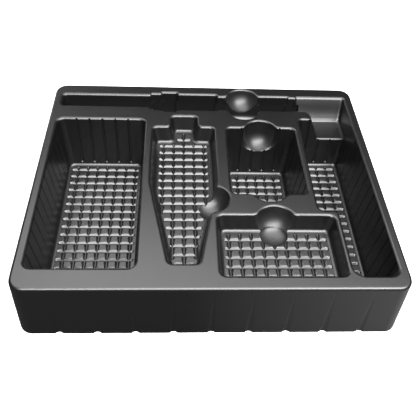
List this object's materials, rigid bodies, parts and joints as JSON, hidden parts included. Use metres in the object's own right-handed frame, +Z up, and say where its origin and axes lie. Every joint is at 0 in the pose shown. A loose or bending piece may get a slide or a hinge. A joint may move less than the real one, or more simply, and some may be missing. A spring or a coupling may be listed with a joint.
{
  "type": "thermoformed insert tray",
  "caption": "Rectangular thermoformed insert tray with deep and shallow shaped pockets, a stepped slot, round finger recesses and gridded pocket floors.",
  "frame": {"origin": "on the ground under the middle of the tray", "axes": "+X along the long side to the tall pocket, +Y from the front wall to the slot, +Z up out of the pockets"},
  "size_m": [0.3192, 0.2702, 0.0592],
  "materials": {
    "black_sheet": "satin black vacuum-formed sheet"
  },
  "bodies": {
    "root": {"tray": "black_sheet"}
  },
  "joints": []
}
